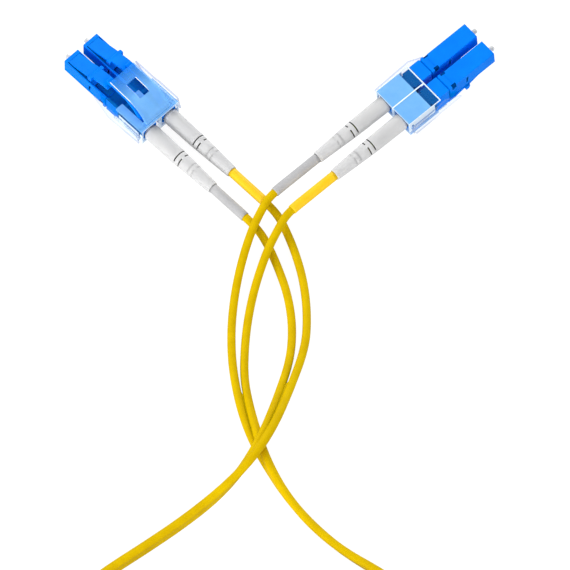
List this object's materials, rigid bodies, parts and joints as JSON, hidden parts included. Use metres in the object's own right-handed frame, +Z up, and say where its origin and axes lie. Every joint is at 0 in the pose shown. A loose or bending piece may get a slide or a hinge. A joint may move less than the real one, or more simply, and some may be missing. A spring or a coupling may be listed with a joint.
{
  "type": "duplex lc fibre connector patch cord",
  "caption": "Single-mode fibre patch cord: twin yellow cord with a clipped duplex LC plug, latches, press lever and strain-relief boots at each end, and its spare length coiled.",
  "frame": {"origin": "on the surface that the cord lies on, under the middle of the two plugs", "axes": "+Z up; +X from one plug to the other; the cord runs off along -Y"},
  "size_m": [0.1044, 0.2064, 0.0117],
  "materials": {
    "housing_blue": "satin moulded",
    "clip_clear": "clear polycarbonate",
    "boot_white": "soft elastomer",
    "sleeve_grey": "smooth",
    "sleeve_yellow": "smooth",
    "cord_yellow": "smooth jacket",
    "ferrule": "polished zirconia",
    "flange_metal": "turned",
    "spring_steel": "drawn wire",
    "buffer_white": "smooth",
    "crimp_metal": "plated"
  },
  "bodies": {
    "cord_and_plugs": {"left_a_plug_housing": "housing_blue", "left_a_rear_body": "housing_blue", "left_a_spring": "spring_steel", "left_a_crimp_ring": "crimp_metal", "left_a_boot": "boot_white", "left_a_marker_sleeve": "sleeve_grey", "left_a_jacket_end": "cord_yellow", "left_b_plug_housing": "housing_blue", "left_b_rear_body": "housing_blue", "left_b_spring": "spring_steel", "left_b_crimp_ring": "crimp_metal", "left_b_boot": "boot_white", "left_b_marker_sleeve": "sleeve_yellow", "left_b_jacket_end": "cord_yellow", "right_a_plug_housing": "housing_blue", "right_a_rear_body": "housing_blue", "right_a_spring": "spring_steel", "right_a_crimp_ring": "crimp_metal", "right_a_boot": "boot_white", "right_a_marker_sleeve": "sleeve_grey", "right_a_jacket_end": "cord_yellow", "right_b_plug_housing": "housing_blue", "right_b_rear_body": "housing_blue", "right_b_spring": "spring_steel", "right_b_crimp_ring": "crimp_metal", "right_b_boot": "boot_white", "right_b_marker_sleeve": "sleeve_yellow", "right_b_jacket_end": "cord_yellow", "left_duplex_clip": "clip_clear", "right_duplex_clip": "clip_clear", "left_a_cord": "cord_yellow", "left_b_cord": "cord_yellow", "right_a_cord": "cord_yellow", "right_b_cord": "cord_yellow", "cord_coil": "cord_yellow"},
    "left_a_ferrule_unit": {"left_a_ferrule": "ferrule", "left_a_ferrule_flange": "flange_metal", "left_a_fibre_buffer": "buffer_white"},
    "left_a_latch": {"left_a_latch_arm": "housing_blue"},
    "left_a_trigger_arm": {"left_a_trigger": "housing_blue"},
    "left_b_ferrule_unit": {"left_b_ferrule": "ferrule", "left_b_ferrule_flange": "flange_metal", "left_b_fibre_buffer": "buffer_white"},
    "left_b_latch": {"left_b_latch_arm": "housing_blue"},
    "left_b_trigger_arm": {"left_b_trigger": "housing_blue"},
    "right_a_ferrule_unit": {"right_a_ferrule": "ferrule", "right_a_ferrule_flange": "flange_metal", "right_a_fibre_buffer": "buffer_white"},
    "right_a_latch": {"right_a_latch_arm": "housing_blue"},
    "right_a_trigger_arm": {"right_a_trigger": "housing_blue"},
    "right_b_ferrule_unit": {"right_b_ferrule": "ferrule", "right_b_ferrule_flange": "flange_metal", "right_b_fibre_buffer": "buffer_white"},
    "right_b_latch": {"right_b_latch_arm": "housing_blue"},
    "right_b_trigger_arm": {"right_b_trigger": "housing_blue"},
    "left_lever": {"left_clip_lever": "clip_clear"},
    "right_lever": {"right_clip_lever": "clip_clear"}
  },
  "joints": [
    {"name": "left_a_ferrule_slide", "type": "slide", "parent": "cord_and_plugs", "child": "left_a_ferrule_unit", "axis": [0.697, -0.717, 0], "range_m": [0, 0.0008], "stiffness_N_per_m": 2000, "springref_m": -0.0025, "deforming": ["left_a_spring"]},
    {"name": "left_a_trigger_press", "type": "hinge", "parent": "cord_and_plugs", "child": "left_a_trigger_arm", "pos_m": [-0.03253, 0.00109, 0.00456], "axis": [-0.717, -0.697, 0], "range_deg": [0, 7.5], "stiffness_Nm_per_rad": 0.05},
    {"name": "left_a_latch_flex", "type": "hinge", "parent": "cord_and_plugs", "child": "left_a_latch", "pos_m": [-0.04877, 0.0178, 0.00422], "axis": [0.717, 0.697, 0], "range_deg": [0, 7], "stiffness_Nm_per_rad": 0.05},
    {"name": "left_b_ferrule_slide", "type": "slide", "parent": "cord_and_plugs", "child": "left_b_ferrule_unit", "axis": [0.697, -0.717, 0], "range_m": [0, 0.0008], "stiffness_N_per_m": 2000, "springref_m": -0.0025, "deforming": ["left_b_spring"]},
    {"name": "left_b_trigger_press", "type": "hinge", "parent": "cord_and_plugs", "child": "left_b_trigger_arm", "pos_m": [-0.02805, 0.00545, 0.00456], "axis": [-0.717, -0.697, 0], "range_deg": [0, 7.5], "stiffness_Nm_per_rad": 0.05},
    {"name": "left_b_latch_flex", "type": "hinge", "parent": "cord_and_plugs", "child": "left_b_latch", "pos_m": [-0.04429, 0.02215, 0.00422], "axis": [0.717, 0.697, 0], "range_deg": [0, 7], "stiffness_Nm_per_rad": 0.05},
    {"name": "right_a_ferrule_slide", "type": "slide", "parent": "cord_and_plugs", "child": "right_a_ferrule_unit", "axis": [-0.7544, -0.6528, -0.0698], "range_m": [0, 0.0008], "stiffness_N_per_m": 2000, "springref_m": -0.0025, "deforming": ["right_a_spring"]},
    {"name": "right_a_trigger_press", "type": "hinge", "parent": "cord_and_plugs", "child": "right_a_trigger_arm", "pos_m": [0.02717, 0.00583, 0.00553], "axis": [0.6543, -0.7562, 0], "range_deg": [0, 7.5], "stiffness_Nm_per_rad": 0.05},
    {"name": "right_a_latch_flex", "type": "hinge", "parent": "cord_and_plugs", "child": "right_a_latch", "pos_m": [0.04473, 0.02102, 0.00749], "axis": [-0.6543, 0.7562, 0], "range_deg": [0, 7], "stiffness_Nm_per_rad": 0.05},
    {"name": "right_b_ferrule_slide", "type": "slide", "parent": "cord_and_plugs", "child": "right_b_ferrule_unit", "axis": [-0.7544, -0.6528, -0.0698], "range_m": [0, 0.0008], "stiffness_N_per_m": 2000, "springref_m": -0.0025, "deforming": ["right_b_spring"]},
    {"name": "right_b_trigger_press", "type": "hinge", "parent": "cord_and_plugs", "child": "right_b_trigger_arm", "pos_m": [0.03126, 0.0011, 0.00553], "axis": [0.6543, -0.7562, 0], "range_deg": [0, 7.5], "stiffness_Nm_per_rad": 0.05},
    {"name": "right_b_latch_flex", "type": "hinge", "parent": "cord_and_plugs", "child": "right_b_latch", "pos_m": [0.04882, 0.0163, 0.00749], "axis": [-0.6543, 0.7562, 0], "range_deg": [0, 7], "stiffness_Nm_per_rad": 0.05},
    {"name": "left_lever_press", "type": "hinge", "parent": "cord_and_plugs", "child": "left_lever", "pos_m": [-0.02911, 0.00205, 0.00595], "axis": [-0.717, -0.697, 0], "range_deg": [0, 6.5], "stiffness_Nm_per_rad": 0.25},
    {"name": "right_lever_press", "type": "hinge", "parent": "cord_and_plugs", "child": "right_lever", "pos_m": [0.02801, 0.00242, 0.00402], "axis": [0.6543, -0.7562, 0], "range_deg": [0, 6.5], "stiffness_Nm_per_rad": 0.25}
  ],
  "couplings": [
    {"joint": "left_a_trigger_press", "follows": "left_lever_press", "ratio": 1.12},
    {"joint": "left_a_latch_flex", "follows": "left_lever_press", "ratio": 1.04},
    {"joint": "left_b_trigger_press", "follows": "left_lever_press", "ratio": 1.12},
    {"joint": "left_b_latch_flex", "follows": "left_lever_press", "ratio": 1.04},
    {"joint": "right_a_trigger_press", "follows": "right_lever_press", "ratio": 1.12},
    {"joint": "right_a_latch_flex", "follows": "right_lever_press", "ratio": 1.04},
    {"joint": "right_b_trigger_press", "follows": "right_lever_press", "ratio": 1.12},
    {"joint": "right_b_latch_flex", "follows": "right_lever_press", "ratio": 1.04}
  ]
}
